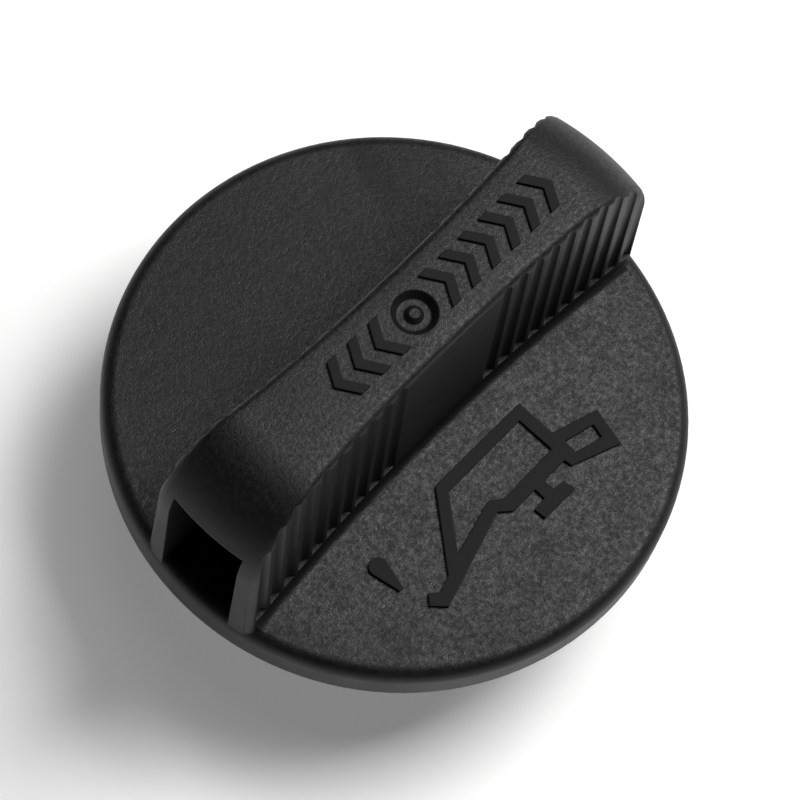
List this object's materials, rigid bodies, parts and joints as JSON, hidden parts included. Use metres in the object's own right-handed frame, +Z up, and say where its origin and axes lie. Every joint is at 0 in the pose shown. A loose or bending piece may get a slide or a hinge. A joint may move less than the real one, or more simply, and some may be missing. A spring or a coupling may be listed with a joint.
{
  "type": "oil filler cap",
  "caption": "Round screw-in oil filler cap with a tall waisted finger grip across it, a hollow threaded neck and a rubber seal.",
  "frame": {"origin": "centre of the neck's lower end, on the screw axis", "axes": "+Z up the screw axis out of the grip, +X along the grip towards its closed end"},
  "size_m": [0.056, 0.056, 0.0398],
  "materials": {
    "cap_plastic": "fine moulded grain",
    "seal_rubber": "matt"
  },
  "bodies": {
    "root": {"cap_body": "cap_plastic", "seal_ring": "seal_rubber"}
  },
  "joints": []
}
